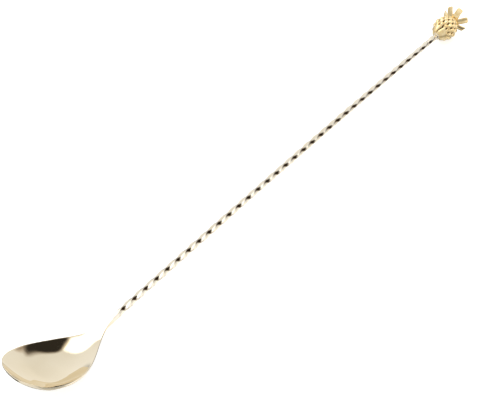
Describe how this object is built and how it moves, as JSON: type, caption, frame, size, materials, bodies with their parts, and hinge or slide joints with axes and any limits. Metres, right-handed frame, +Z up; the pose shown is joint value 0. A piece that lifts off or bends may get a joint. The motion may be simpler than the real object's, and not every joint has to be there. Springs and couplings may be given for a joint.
{
  "type": "bar spoon",
  "caption": "Long bar spoon with a teardrop bowl, a left-hand twisted square shaft and a pineapple finial, lying on its bowl and finial.",
  "frame": {"origin": "centre of the bounding box at table level, with the spoon lying on the underside of its bowl and on its lowest crown leaf", "axes": "+X along the spoon from the bowl to the finial, +Z up out of the bowl, +Y across the bowl"},
  "size_m": [0.33, 0.0302, 0.0143],
  "materials": {
    "champagne_plate": "mirror-polished stainless steel with a pale champagne-gold plate",
    "gold_plate": "polished cast metal with a rich yellow-gold plate, darker in the recesses",
    "solder": "plain bright solder, hidden in the joint"
  },
  "bodies": {
    "root": {"bowl": "champagne_plate", "neck_weld": "champagne_plate", "shaft": "champagne_plate", "finial_solder": "solder", "pineapple_body": "gold_plate", "pineapple_crown": "gold_plate"}
  },
  "joints": []
}
